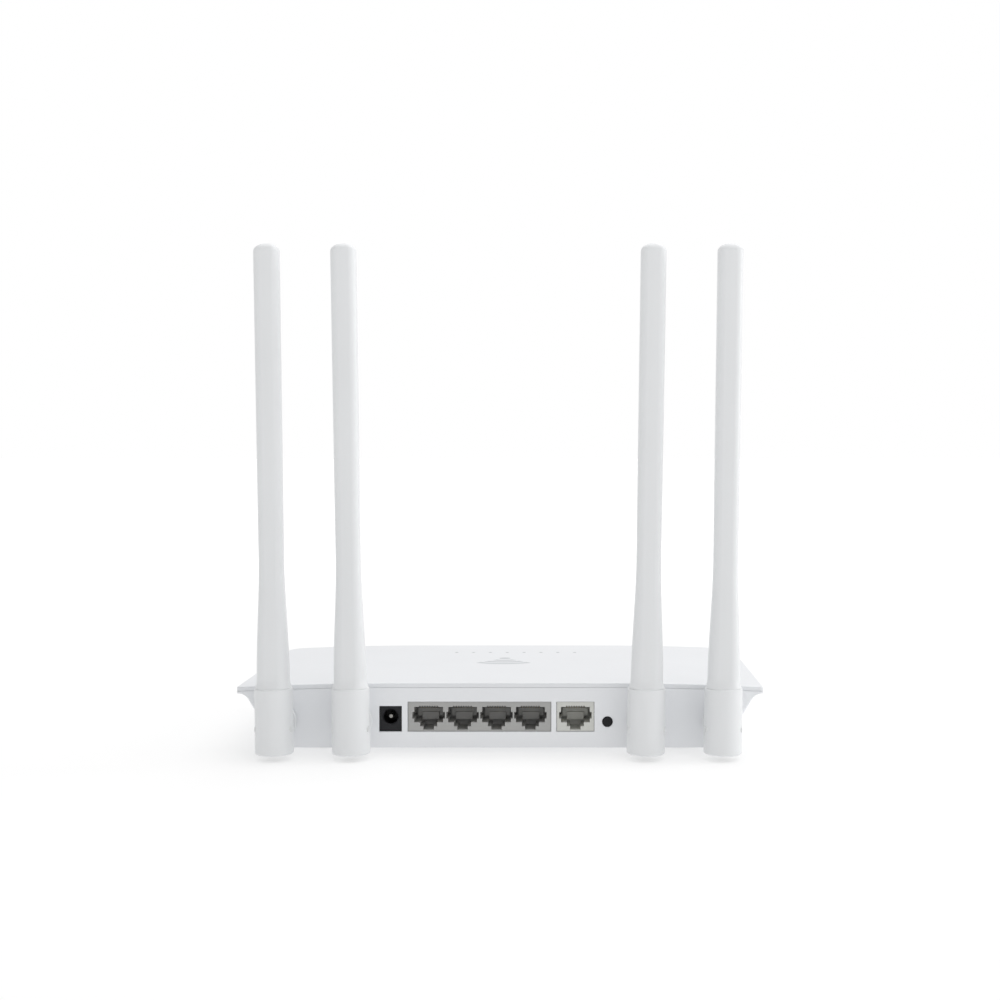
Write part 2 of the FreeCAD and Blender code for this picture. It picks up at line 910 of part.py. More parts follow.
def make_leads():
    lay_z = board_top + lead_radius
    entry_y = wall + collar_length
    corner_x = board_width / 2 + lead_corner_gap
    land_x = board_width / 2 - lead_land_edge
    for number, x in enumerate(antenna_x, 1):
        side = math.copysign(1, x)
        spread = lead_spread if abs(x) == outer_x else 0.0
        points = [
            V(x, entry_y, swivel_z),
            V(x, entry_y + lead_straight + spread, swivel_z),
            V((x + side * corner_x) / 2, lead_bend_y + 2 * spread, swivel_z - lead_bend_drop),
            V(side * corner_x, lead_corner_y + 2 * spread, lay_z + lead_corner_rise),
            V(side * land_x, lead_land_y + 2 * spread, lay_z),
        ]
        keep("inner_lead_%d" % number, tube(points, lead_radius))


# ---- antennas ----
def rounded_block(x, y, half_x, half_y, corner, z):
    return rounded_outline(x - half_x, x + half_x, y - half_y, y + half_y, corner, corner, z)


def ease(t):
    return t * t * (3 - 2 * t)


def blade_half_sizes(z):
    """Half width and half depth of the antenna sleeve at height z."""
    neck_z = barrel_top_z + neck_foot_height
    if z < neck_z:
        t = (1 - (z - barrel_top_z) / neck_foot_height) ** 2
        width = neck_width + (neck_foot_width - neck_width) * t
        depth = neck_depth + (neck_foot_depth - neck_depth) * t
    elif z < blade_start_z:
        t = ease((z - neck_z) / (blade_start_z - neck_z))
        width = neck_width + (blade_width - neck_width) * t
        depth = neck_depth + (blade_depth - neck_depth) * t
    else:
        t = (z - blade_start_z) / (antenna_top_z - blade_start_z)
        width = blade_width + (blade_tip_width - blade_width) * t
        depth = blade_depth
    return width / 2, depth / 2


def blade_outline(z, inset=0.0, size_z=None):
    half_x, half_y = blade_half_sizes(z if size_z is None else size_z)
    corner = blade_corner * half_y - inset * 0.8
    return rounded_block(0, axis_y, half_x - inset, half_y - inset, corner, z)


def blade_stack(inset=0.0, start_z=barrel_top_z):
    """The sleeve's outer form, or its hollow when inset, in stretches of even steps."""
    neck_z = barrel_top_z + neck_foot_height
    stretches = [
        (start_z, neck_z, 4),
        (neck_z, blade_start_z, 6),
        (blade_start_z, antenna_top_z - tip_round, 1),
    ]
    solids = []
    for low, high, steps in stretches:
        if high - low < 0.1:
            continue
        heights = [low + (high - low) * i / steps for i in range(steps + 1)]
        solids.append(loft([blade_outline(z, inset) for z in heights], steps == 1))
    return solids


def make_sleeve():
    tip_z = antenna_top_z - tip_round
    steps = 5
    crown = []
    for i in range(steps + 1):
        a = math.pi / 2 * 0.93 * i / steps
        inset = tip_round * (1 - math.cos(a))
        crown.append(blade_outline(tip_z + tip_round * math.sin(a), inset, tip_z))
    spigot_low = barrel_top_z - spigot_length
    spigot = rod(spigot_radius, V(0, axis_y, spigot_low), spigot_length)
    outer = joined(blade_stack() + [loft(crown), spigot])
    neck_z = barrel_top_z + neck_foot_height
    bore_length = spigot_length + neck_foot_height + 1
    bore = rod(spigot_radius - sleeve_wall, V(0, axis_y, spigot_low - 1), bore_length)
    inner = joined(blade_stack(sleeve_wall, neck_z) + [bore])
    rib_levels = (rib_z, rib_z + rib_thickness)
    rib = loft([blade_outline(z, sleeve_wall / 2) for z in rib_levels], True)
    rib = rib.cut(rod(choke_radius, V(0, axis_y, rib_z - 1), rib_thickness + 2))
    return outer.cut(inner).fuse(rib).removeSplitter()


def make_barrel():
    height = barrel_top_z - antenna_foot_z
    low = V(0, axis_y, antenna_foot_z)
    body = Part.makeCone(barrel_radius, barrel_top_radius, height, low, Z)
    foot = [e for e in body.Edges if e.Closed and e.CenterOfMass.z < antenna_foot_z + 0.1]
    body = body.makeFillet(barrel_foot_round, foot)
    rim = [e for e in body.Edges if e.Closed and e.CenterOfMass.z > barrel_top_z - 0.1]
    body = body.makeFillet(barrel_shoulder_round, rim)
    socket_low = barrel_top_z - spigot_length
    socket = rod(spigot_radius, V(0, axis_y, socket_low), spigot_length + 1)
    below = V(-BIG / 2, pin_y, pin_z - BIG)
    quarter = Part.makeBox(BIG, BIG, BIG, below)
    pin_line = V(-BIG / 2, pin_y, pin_z)
    heel = quarter.cut(rod(foot_sweep, pin_line, BIG, X))
    half = tongue_half + fit_gap
    eye = eye_radius + fit_gap
    wall_side = axis_y + barrel_radius + 1
    under = antenna_foot_z - 1
    slot = [
        box(-half, half, pin_y, wall_side, under, pin_z + eye),
        box(-half, half, pin_y - eye, pin_y, under, pin_z),
        rod(eye, V(-half, pin_y, pin_z), 2 * half, X),
    ]
    pin_hole = rod(pin_radius, V(-barrel_radius, pin_y, pin_z), 2 * barrel_radius, X)
    lead_hole = rod(lead_radius + fit_gap, V(0, axis_y, pin_z), socket_low - pin_z + 1)
    return body.cut([socket, heel, pin_hole, lead_hole] + slot).removeSplitter()


def make_knuckle():
    """Swivel boss with its shaft through the panel and a tongue for the tilt pin."""
    depth = -boss_face_y - fit_gap
    boss = Part.makeCone(
        boss_radius, boss_panel_radius, depth, V(0, boss_face_y, swivel_z), Y
    )
    face = [e for e in boss.Edges if e.Closed and e.CenterOfMass.y < boss_face_y + 0.1]
    boss = boss.makeFillet(boss_edge_round, face)
    shaft = rod(shaft_radius, V(0, -fit_gap - 0.5, swivel_z), shaft_end_y + fit_gap + 0.5, Y)
    tip = [e for e in shaft.Edges if e.Closed and e.CenterOfMass.y > shaft_end_y - 0.1]
    shaft = shaft.makeChamfer(shaft_chamfer, tip)
    groove = rod(shaft_radius + 1, V(0, ring_y, swivel_z), ring_thickness, Y)
    groove = groove.cut(rod(shaft_radius - ring_groove, V(0, 0, swivel_z), BIG, Y))
    tongue = box(
        -tongue_half,
        tongue_half,
        pin_y,
        boss_face_y + 1,
        pin_z - eye_radius,
        pin_z + eye_radius,
    )
    eye = rod(eye_radius, V(-tongue_half, pin_y, pin_z), 2 * tongue_half, X)
    pin_hole = rod(pin_radius + pin_gap, V(-BIG / 2, pin_y, pin_z), BIG, X)
    turn_y = axis_y + lead_bore_radius + lead_wall
    channel = rod(lead_bore_radius, V(0, turn_y, swivel_z), BIG, Y)
    riser = rod(lead_bore_radius, V(0, turn_y, swivel_z), BIG)
    ball = Part.makeSphere(lead_bore_radius, V(0, turn_y, swivel_z))
    body = joined([boss, shaft, tongue, eye])
    return body.cut([groove, pin_hole, channel, riser, ball]).removeSplitter()


def make_ring():
    """Snap ring in the shaft's groove, behind the panel's collar."""
    ring = rod(ring_radius, V(0, ring_y, swivel_z), ring_thickness, Y)
    bore = rod(shaft_radius - ring_groove, V(0, 0, swivel_z), BIG, Y)
    mouth_half = shaft_radius - ring_groove - ring_mouth_gap
    mouth = box(-mouth_half, mouth_half, 0, BIG, swivel_z, BIG)
    return ring.cut([bore, mouth])


def make_pin():
    half = math.sqrt(barrel_radius**2 - pin_offset**2) - pin_inset
    return rod(pin_radius, V(-half, pin_y, pin_z), 2 * half, X)


def make_radiator():
    low = V(0, axis_y, choke_z)
    sleeve = rod(choke_radius, low, choke_length).cut(
        rod(choke_bore, low - Z, choke_length - 1)
    )
    whip = rod(whip_radius, low + Z * (choke_length - 1), whip_length)
    return sleeve.fuse(whip).removeSplitter()


def make_antenna_lead():
    low = pin_z + eye_radius + fit_gap
    return rod(lead_radius, V(0, axis_y, low), choke_z + choke_length / 2 - low)


def make_antennas():
    pieces = [
        ("antenna_knuckle", make_knuckle()),
        ("antenna_ring", make_ring()),
        ("antenna_pin", make_pin()),
        ("antenna_barrel", make_barrel()),
        ("antenna_sleeve", make_sleeve()),
        ("antenna_radiator", make_radiator()),
        ("antenna_lead", make_antenna_lead()),
    ]
    for number, x in enumerate(antenna_x, 1):
        lean = math.copysign(antenna_lean, x)
        for name, shape in pieces:
            leaning = shape.rotated(V(0, 0, swivel_z), Y, lean)
            keep("%s_%d" % (name, number), leaning.translated(X * x))


make_bottom_case()
make_top_cover()
make_feet()
make_label()
make_screws()
make_board()
make_components()
make_jacks()
make_power_jack()
make_button()
make_lights()
make_leads()
make_antennas()
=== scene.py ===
import math

import bpy
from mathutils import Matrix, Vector


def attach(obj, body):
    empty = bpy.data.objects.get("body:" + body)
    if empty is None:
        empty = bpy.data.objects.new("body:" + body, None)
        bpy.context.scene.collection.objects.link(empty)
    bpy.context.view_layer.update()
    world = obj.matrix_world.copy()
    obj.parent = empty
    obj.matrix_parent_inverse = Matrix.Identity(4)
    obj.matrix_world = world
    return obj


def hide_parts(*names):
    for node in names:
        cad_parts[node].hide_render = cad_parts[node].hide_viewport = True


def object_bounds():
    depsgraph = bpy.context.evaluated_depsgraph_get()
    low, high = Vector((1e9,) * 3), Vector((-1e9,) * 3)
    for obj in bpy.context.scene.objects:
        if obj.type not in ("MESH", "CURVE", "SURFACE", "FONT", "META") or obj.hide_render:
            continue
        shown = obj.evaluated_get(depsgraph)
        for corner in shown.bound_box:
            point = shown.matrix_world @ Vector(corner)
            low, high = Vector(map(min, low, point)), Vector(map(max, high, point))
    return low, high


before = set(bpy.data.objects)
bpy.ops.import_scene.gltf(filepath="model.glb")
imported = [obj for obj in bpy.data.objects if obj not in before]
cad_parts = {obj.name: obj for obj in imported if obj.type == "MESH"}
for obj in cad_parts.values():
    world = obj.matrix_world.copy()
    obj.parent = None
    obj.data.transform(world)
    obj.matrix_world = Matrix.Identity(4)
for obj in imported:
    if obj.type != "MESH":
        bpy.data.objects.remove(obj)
cad_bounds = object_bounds()


# ---------------------------------------------------------------- lower case
# A tray moulded in one shot from white ABS: port panel, flared walls, antenna collars
# and board stands together. The tool was spark-eroded, so the outside has a fine matt
# grain, and every cut edge is slightly softened.
class Graph:
    """A node tree whose nodes are added one by one, for a material or for geometry."""

    def __init__(self, tree):
        self.tree = tree

    def node(self, kind, settings=None, values=(), output=0):
        """Adds a node: its settings first, then a value or a link for its sockets."""
        node = self.tree.nodes.new(kind)
        for name, value in (settings or {}).items():
            setattr(node, name, value)
        pairs = values.items() if isinstance(values, dict) else enumerate(values)
        for key, value in pairs:
            if isinstance(value, Term):
                self.tree.links.new(value.socket, node.inputs[key])
            else:
                node.inputs[key].default_value = value
        return Term(self, node.outputs[output])


class Term:
    """A value in a node tree: arithmetic on it adds the node that does the sum."""

    def __init__(self, graph, socket):
        self.graph = graph
        self.socket = socket

    def combined(self, operation, left, right):
        kinds = {term.socket.type for term in (left, right) if isinstance(term, Term)}
        kind = "ShaderNodeVectorMath" if "VECTOR" in kinds else "ShaderNodeMath"
        return self.graph.node(kind, {"operation": operation}, (left, right))

    def alone(self, operation):
        return self.graph.node("ShaderNodeMath", {"operation": operation}, (self,))

    def __add__(self, other):
        return self.combined("ADD", self, other)

    def __radd__(self, other):
        return self.combined("ADD", other, self)

    def __sub__(self, other):
        return self.combined("SUBTRACT", self, other)

    def __rsub__(self, other):
        return self.combined("SUBTRACT", other, self)

    def __mul__(self, other):
        return self.combined("MULTIPLY", self, other)

    def __rmul__(self, other):
        return self.combined("MULTIPLY", other, self)

    def __truediv__(self, other):
        return self.combined("DIVIDE", self, other)

    def __rtruediv__(self, other):
        return self.combined("DIVIDE", other, self)

    def __mod__(self, other):
        return self.combined("FLOORED_MODULO", self, other)

    def __pow__(self, other):
        return self.combined("POWER", self, other)

    def __abs__(self):
        return self.alone("ABSOLUTE")

    def root(self):
        return self.alone("SQRT")

    def cosine(self):
        return self.alone("COSINE")

    def sine(self):
        return self.alone("SINE")

    def sign(self):
        return self.alone("SIGN")

    def floor(self):
        return self.alone("FLOOR")

    def least(self, other):
        return self.combined("MINIMUM", self, other)

    def most(self, other):
        return self.combined("MAXIMUM", self, other)

    def under(self, limit):
        return self.combined("LESS_THAN", self, limit)

    def rise(self, start, end):
        """0 at start, 1 at end and smooth between them."""
        settings = {"interpolation_type": "SMOOTHSTEP"}
        values = {"Value": self, "From Min": start, "From Max": end}
        return self.graph.node("ShaderNodeMapRange", settings, values)

    def within(self, half, blur=0.00004):
        """1 where the value lies inside plus or minus half, with a soft edge."""
        return 1.0 - abs(self).rise(half - blur, half + blur)


def as_colour(value):
    return value if isinstance(value, Term) else (*value, 1.0)


class Finish(Graph):
    """One surface finish: a Principled shader fed from object coordinates."""

    def __init__(self, name, **sockets):
        self.material = bpy.data.materials.new(name)
        self.material.use_nodes = True
        super().__init__(self.material.node_tree)
        self.shader = self.tree.nodes["Principled BSDF"]
        for socket, value in sockets.items():
            self.shader.inputs[socket.replace("_", " ")].default_value = value
        self.place = self.node("ShaderNodeTexCoord", output="Object")
        split = self.node("ShaderNodeSeparateXYZ", None, (self.place,)).socket.node
        self.x, self.y, self.z = (Term(self, socket) for socket in split.outputs)

    def noise(self, size, detail=3.0, place=None):
        """Cloudy variation from 0 to 1 with patches about size metres across."""
        values = {"Vector": place or self.place, "Scale": 1 / size, "Detail": detail}
        return self.node("ShaderNodeTexNoise", None, values)

    def blend(self, below, above, amount):
        values = {0: amount, 6: as_colour(below), 7: as_colour(above)}
        return self.node("ShaderNodeMix", {"data_type": "RGBA"}, values, 2)

    def feed(self, socket, value):
        self.tree.links.new(value.socket, self.shader.inputs[socket])

    def relief(self, height, depth, edge=0.0):
        """Raises the surface by height times depth metres and softens sharp edges."""
        values = {"Height": height, "Distance": depth}
        if edge:
            values["Normal"] = self.node("ShaderNodeBevel", None, {"Radius": edge})
        self.feed("Normal", self.node("ShaderNodeBump", None, values))

    def dress(self, *names):
        """Gives the finish to CAD nodes."""
        for name in names:
            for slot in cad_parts[name].material_slots:
                slot.material = self.material


def shade(colour, factor):
    return tuple(channel * factor for channel in colour)


def moulded(name, colour, gloss, grain, grain_size, edge=0.0, **sockets):
    """Moulded plastic: cloudy tint, uneven gloss and the grain of its tool."""
    finish = Finish(name, **sockets)
    flow = finish.noise(0.035, 2.0)
    fleck = finish.noise(0.0006, 2.0).rise(0.58, 0.80)
    tint = finish.blend(shade(colour, 0.975), shade(colour, 1.015), flow)
    finish.tint = finish.blend(tint, shade(colour, 0.94), fleck * 0.4)
    finish.feed("Base Color", finish.tint)
    uneven = finish.noise(0.009, 3.0) * 0.08 + fleck * 0.05
    finish.feed("Roughness", uneven + (gloss - 0.04))
    finish.relief(finish.noise(grain_size, 4.0), grain, edge)
    return finish


case_colour = (0.830, 0.842, 0.862)
case = moulded("case_moulding", case_colour, 0.52, 0.000010, 0.0004, edge=0.00025)
case.dress("bottom_case")

# ---------------------------------------------------------------- feet
# Four dark grey rubber discs, compression moulded, stuck into shallow round recesses
# in the underside with adhesive film. Their rims pick up pale dust.
rubber = Finish("foot_rubber")
foot_dust = rubber.noise(0.004, 4.0).rise(0.50, 0.78)
rubber.feed("Base Color", rubber.blend((0.030, 0.030, 0.032), (0.11, 0.11, 0.11), foot_dust))
rubber.feed("Roughness", rubber.noise(0.002) * 0.15 + 0.72)
rubber.relief(rubber.noise(0.0005, 5.0), 0.00004, edge=0.0002)
rubber.dress("rubber_feet")

# ---------------------------------------------------------------- rating label
# A silver-white polyester film in a recess under the case. Its print is only a thin
# frame, ruled lines and two empty boxes: no lettering.
film = Finish("label_film", Coat_Roughness=0.2)
label_shift, label_line = 0.021875, 0.0002
frame_x, frame_y = 0.0335, 0.0115
label_x, label_y = film.x, film.y + label_shift
label_sides = (abs(label_x) - frame_x).within(label_line)
label_sides = label_sides.least(abs(label_y).under(frame_y + label_line))
label_ends = (abs(label_y) - frame_y).within(label_line)
label_frame = label_sides.most(label_ends.least(abs(label_x).under(frame_x + label_line)))
rule_pitch, rule_middle_x, rule_half_length = 0.0042, -0.012, 0.018
label_rules = ((label_y + 0.0008) % rule_pitch - rule_pitch / 2).within(label_line / 2)
label_rules = label_rules.least((label_x - rule_middle_x).within(rule_half_length))
label_rules = label_rules.least(label_y.within(0.009))
from_box_x, from_box_y = label_x - 0.021, abs(label_y) - 0.0052
box_x, box_y, box_line = 0.0085, 0.0034, 0.0003
label_boxes = from_box_y.within(box_y).least(from_box_x.within(box_x))
box_inside = from_box_y.within(box_y - box_line).least(from_box_x.within(box_x - box_line))
label_boxes = label_boxes - box_inside
label_ink = label_frame.most(label_rules).most(label_boxes)
label_paper = film.blend((0.62, 0.63, 0.65), (0.70, 0.71, 0.73), film.noise(0.012))
film.feed("Base Color", film.blend(label_paper, (0.09, 0.09, 0.10), label_ink))
film.feed("Roughness", film.noise(0.0008) * 0.10 + 0.28)
film.relief(film.noise(0.006, 2.0) - label_ink * 0.2, 0.00002)
film.dress("rating_label")

# ---------------------------------------------------------------- screws
# Zinc-plated steel: four long case screws up through the floor into the cover's posts
# and four short ones that hold the board. The heads are cold formed, then plated.
zinc = Finish("screw_zinc", Metallic=1.0, Anisotropic=0.3)
zinc_stain = zinc.noise(0.0015, 4.0)
zinc.feed("Base Color", zinc.blend((0.56, 0.56, 0.58), (0.70, 0.69, 0.66), zinc_stain))
zinc.feed("Roughness", zinc_stain * 0.16 + 0.24)
zinc_thread = (zinc.z / 0.0005 * math.tau).sine() * abs(zinc.z - 0.0030).rise(0.0012, 0.0014)
zinc.relief(zinc_thread * 0.6 + zinc.noise(0.0003) * 0.15, 0.00006)
zinc.dress("case_screws", "board_screws")

# ---------------------------------------------------------------- main board
# Green-masked fibreglass, 1.6 mm thick: traces show through the mask as a lighter
# green, the screw holes have tinned rings and white ink outlines the big parts.
mask = Finish("board_mask", Coat_Weight=0.35, Coat_Roughness=0.12)
trace_pitch, trace_half = 0.0008, 0.00014
lengthwise = mask.noise(0.016, 0.0).rise(0.49, 0.51)
runs = (mask.x % trace_pitch - trace_pitch / 2).within(trace_half) * lengthwise
cross_runs = (mask.y % trace_pitch - trace_pitch / 2).within(trace_half)
runs = runs.most(cross_runs * (1.0 - lengthwise))
routed = runs * mask.noise(0.007, 0.0).rise(0.44, 0.47)
pour = mask.noise(0.03, 1.0).rise(0.54, 0.56)
green = mask.blend((0.006, 0.070, 0.026), (0.012, 0.125, 0.048), pour)
green = mask.blend(green, (0.030, 0.215, 0.085), routed)
stand_x = abs(mask.x) - 0.0465
stand_y = abs(mask.y - 0.013225) - 0.0309
hole_ring_radius = 0.0030
hole_ring = (stand_x * stand_x + stand_y * stand_y).root().under(hole_ring_radius)
chip_x, chip_y = abs(mask.x), abs(mask.y - 0.008125)
white_line, chip_outline = 0.0001, 0.0112
ink = (chip_x.most(chip_y) - chip_outline).within(white_line)
can_outline_y = (abs(mask.y - 0.012125) - 0.0160).within(white_line)
ink = ink.most((abs(mask.x) - 0.030).within(0.0140).least(can_outline_y))
green = mask.blend(green, (0.78, 0.78, 0.76), ink)
mask.feed("Base Color", mask.blend(green, (0.62, 0.61, 0.58), hole_ring))
mask.feed("Metallic", hole_ring)
mask.feed("Roughness", mask.noise(0.004) * 0.12 + 0.30)
mask.relief(runs * 0.6 + ink * 0.5, 0.00003)
mask.dress("main_board")


# The small passive parts: ceramic blocks with tinned ends, placed by machine in
# straight groups between the big parts and reflow soldered.
class Recipe(Graph):
    """A Geometry Nodes group with named inputs that ends as one plain mesh."""

    def __init__(self, name, **inputs):
        super().__init__(bpy.data.node_groups.new(name, "GeometryNodeTree"))
        interface = self.tree.interface
        interface.new_socket("Geometry", in_out="OUTPUT", socket_type="NodeSocketGeometry")
        kinds = {int: "NodeSocketInt", float: "NodeSocketFloat"}
        self.identifiers = {}
        for label, value in inputs.items():
            kind = kinds[type(value)]
            socket = interface.new_socket(label, in_out="INPUT", socket_type=kind)
            self.identifiers[label] = (socket.identifier, value)
        self.entry = self.tree.nodes.new("NodeGroupInput")
        self.name = name

    def __getattr__(self, label):
        return Term(self, self.entry.outputs[label])

    def vector(self, x=0.0, y=0.0, z=0.0):
        return self.node("ShaderNodeCombineXYZ", None, (x, y, z))

    def joined(self, *parts):
        join = self.tree.nodes.new("GeometryNodeJoinGeometry")
        for part in parts:
            self.tree.links.new(part.socket, join.inputs[0])
        return Term(self, join.outputs[0])

    def finished(self, geometry, material, smooth=False):
        """Closes the group: instances made real, shaded and given their finish."""
        real = self.node("GeometryNodeRealizeInstances", None, (geometry,))
        values = {"Geometry": real, "Shade Smooth": smooth}
        real = self.node("GeometryNodeSetShadeSmooth", None, values)
        crease = 1.0 - self.node("GeometryNodeInputMeshEdgeAngle").under(math.radians(35))
        values = {"Geometry": real, "Selection": crease, "Shade Smooth": False}
        real = self.node("GeometryNodeSetShadeSmooth", {"domain": "EDGE"}, values)
        values = {"Geometry": real, "Material": material}
        shaded = self.node("GeometryNodeSetMaterial", None, values)
        end = self.tree.nodes.new("NodeGroupOutput")
        self.tree.links.new(shaded.socket, end.inputs[0])

    def made(self, name, body, slot, **changes):
        """Runs the group once with these inputs and keeps the result as a mesh."""
        holder = bpy.data.objects.new(name + "_rule", bpy.data.meshes.new(name + "_rule"))
        bpy.context.scene.collection.objects.link(holder)
        modifier = holder.modifiers.new(self.name, "NODES")
        modifier.node_group = self.tree
        for label, (identifier, value) in self.identifiers.items():
            modifier[identifier] = changes.get(label, value)
        bpy.context.view_layer.update()
        depsgraph = bpy.context.evaluated_depsgraph_get()
        mesh = bpy.data.meshes.new_from_object(holder.evaluated_get(depsgraph))
        mesh.name = name
        holder.modifiers.remove(modifier)
        bpy.data.objects.remove(holder)
        piece = bpy.data.objects.new(name, mesh)
        bpy.context.scene.collection.objects.link(piece)
        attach(piece, body)
        return piece


passive = Finish("chip_ceramic")
passive_pitch, cap_start = 0.0030, 0.00052
end_cap = abs(passive.x % passive_pitch - passive_pitch / 2)
end_cap = end_cap.rise(cap_start, cap_start + 0.00004)
sort = passive.noise(0.009, 0.0).rise(0.5, 0.51)
ceramic = passive.blend((0.30, 0.19, 0.10), (0.020, 0.020, 0.022), sort)
passive.feed("Base Color", passive.blend(ceramic, (0.66, 0.65, 0.62), end_cap))
passive.feed("Metallic", end_cap)
passive.feed("Roughness", passive.noise(0.0005) * 0.15 + 0.32)
passive.relief(passive.noise(0.0002), 0.00001)

board_top = 0.00895
passive_size = (0.0016, 0.0008, 0.0006)
field = Recipe(
    "passive_field", Columns=6, Rows=4, Left=0.0, Rear=0.0, Pitch=passive_pitch, Seed=4
)
field_length = (field.Columns - 1.0) * field.Pitch
field_depth = (field.Rows - 1.0) * field.Pitch
grid_values = {"Size X": field_length, "Size Y": field_depth}
grid_values |= {"Vertices X": field.Columns, "Vertices Y": field.Rows}
grid = field.node("GeometryNodeMeshGrid", None, grid_values)
centre_x = field.Left + field_length * 0.5
centre_y = field.Rear + field_depth * 0.5
shift = field.vector(centre_x, centre_y, board_top + passive_size[2] / 2)
grid = field.node("GeometryNodeTransform", None, {"Geometry": grid, "Translation": shift})
chance = {"Probability": 0.78, "Seed": field.Seed}
chosen = field.node("FunctionNodeRandomValue", {"data_type": "BOOLEAN"}, chance, 3)
block = field.node("GeometryNodeMeshCube", None, {"Size": passive_size})
placed = {"Points": grid, "Selection": chosen, "Instance": block}
field.finished(field.node("GeometryNodeInstanceOnPoints", None, placed), passive.material)
for place, columns, rows, left, rear, seed in (
    ("rear", 5, 5, -0.0255, -0.0205, 4),
    ("right", 7, 3, 0.0240, -0.0145, 9),
    ("front", 5, 4, -0.0435, 0.0305, 12),
    ("front_right", 6, 4, 0.0240, 0.0305, 15),
):
    changes = {"Columns": columns, "Rows": rows, "Left": left, "Rear": rear, "Seed": seed}
    field.made("passives_" + place, "base", "chip_black", **changes)

# ---------------------------------------------------------------- chips
# Black epoxy packages, transfer moulded round the silicon, with a pin-one dimple and
# a plain laser-etched panel. The line transformers and inductors share the compound.
epoxy = Finish("chip_epoxy")
chip_face_z = board_top + 0.0009
etched = epoxy.noise(0.010, 0.0).rise(0.42, 0.44)
etched = etched * epoxy.z.rise(chip_face_z, chip_face_z + 0.0001)
epoxy.feed("Base Color", epoxy.blend((0.011, 0.011, 0.013), (0.026, 0.026, 0.029), etched))
epoxy.feed("Roughness", epoxy.noise(0.0004, 4.0) * 0.2 + 0.42)
epoxy.relief(epoxy.noise(0.00012, 4.0), 0.000012, edge=0.00012)
epoxy.dress("processor", "memory_chips", "line_transformers", "inductors")

# ---------------------------------------------------------------- capacitors
# Electrolytic cans: aluminium cups in a dark shrink sleeve with a pale polarity
# stripe. The bare top is scored with a cross so that it can vent.
can = Finish("capacitor_can")
tall_can_z, low_can_z, rim_blur = 0.02038, 0.01488, 0.00004
low_can_y, can_pitch, stripe_x = 0.030125, 0.0105, 0.0037
low_tops = can.z.rise(low_can_z, low_can_z + rim_blur) * (can.y - low_can_y).within(0.005)
can_tops = can.z.rise(tall_can_z, tall_can_z + rim_blur).most(low_tops)
stripe = (can.x % can_pitch - stripe_x).within(0.0008)
sleeve_ink = can.blend((0.012, 0.014, 0.024), (0.42, 0.44, 0.47), stripe)
can.feed("Base Color", can.blend(sleeve_ink, (0.74, 0.74, 0.75), can_tops))
can.feed("Metallic", can_tops)
can.feed("Roughness", can.noise(0.0015) * 0.14 + 0.24)
can.relief(can.noise(0.003, 2.0), 0.00003, edge=0.0004)
can.dress("capacitors")

# ---------------------------------------------------------------- screening cans and crystal
# Drawn tinplate lids soldered over the two radio sections, with rows of small round
# vent dimples; the crystal is a smaller seam-welded can.
tin = Finish("can_tinplate", Metallic=1.0)
dimple_pitch, dimple_radius = 0.0030, 0.00045
dimple_x, dimple_y = (v % dimple_pitch - dimple_pitch / 2 for v in (tin.x, tin.y))
dimple_and_shade = (dimple_x * dimple_x + dimple_y * dimple_y).root()
dimple_and_shade = dimple_and_shade.rise(dimple_radius, dimple_radius + 0.0001)
rolled = tin.noise(0.004, 3.0, tin.place * (1.0, 12.0, 1.0))
# Painted shade: each dimple is painted dark grey as the shade inside it; the same mask also
# dents the surface.
tin.feed("Base Color", tin.blend((0.20, 0.20, 0.20), (0.74, 0.73, 0.71), dimple_and_shade))
tin.feed("Roughness", rolled * 0.18 + 0.24)
tin.relief(dimple_and_shade + rolled * 0.1, 0.00015)
tin.dress("shield_can_left", "shield_can_right")
welded = Finish("crystal_can", Metallic=1.0)
seam_stain = welded.noise(0.001)
welded.feed("Base Color", welded.blend((0.66, 0.65, 0.60), (0.76, 0.75, 0.72), seam_stain))
welded.feed("Roughness", welded.noise(0.0008) * 0.15 + 0.18)
welded.relief(welded.noise(0.0005), 0.00001, edge=0.0002)
welded.dress("crystal")

# ---------------------------------------------------------------- heat sink
# Extruded aluminium, clear anodised, glued to the processor: die lines run along the
# fins and the sawn ends are brighter.
extruded = Finish("sink_aluminium", Metallic=1.0, Anisotropic=0.5)
die_lines = extruded.noise(0.0006, 4.0, extruded.place * (1.0, 0.02, 1.0))
extruded.feed("Base Color", extruded.blend((0.60, 0.61, 0.62), (0.74, 0.75, 0.76), die_lines))
extruded.feed("Roughness", die_lines * 0.20 + 0.28)
extruded.relief(die_lines, 0.00003, edge=0.00015)
extruded.dress("heat_sink")

# ---------------------------------------------------------------- network jacks
# The four-port block is grey glass-filled nylon and the single port is ivory. Both
# are moulded, soldered to the board and look out through the panel.
port_pitch, contact_pitch = 0.01397, 0.00102
lan_x, wan_x = -0.0085, 0.0310
lan_first_x = lan_x - 1.5 * port_pitch
panel_y = cad_bounds[0][1] + 0.02125
jack_face_y = panel_y + 0.0004
port_floor, port_height = 0.0036, 0.00635
port_ceiling = board_top + port_floor + port_height
slot_height = 0.00045
# Painted shade: above this height and beyond this depth, the top back of each port's cavity is
# painted near-black as the shade that falls there.
recess_shade_z, recess_shade_depth = board_top + 0.0080, 0.0070


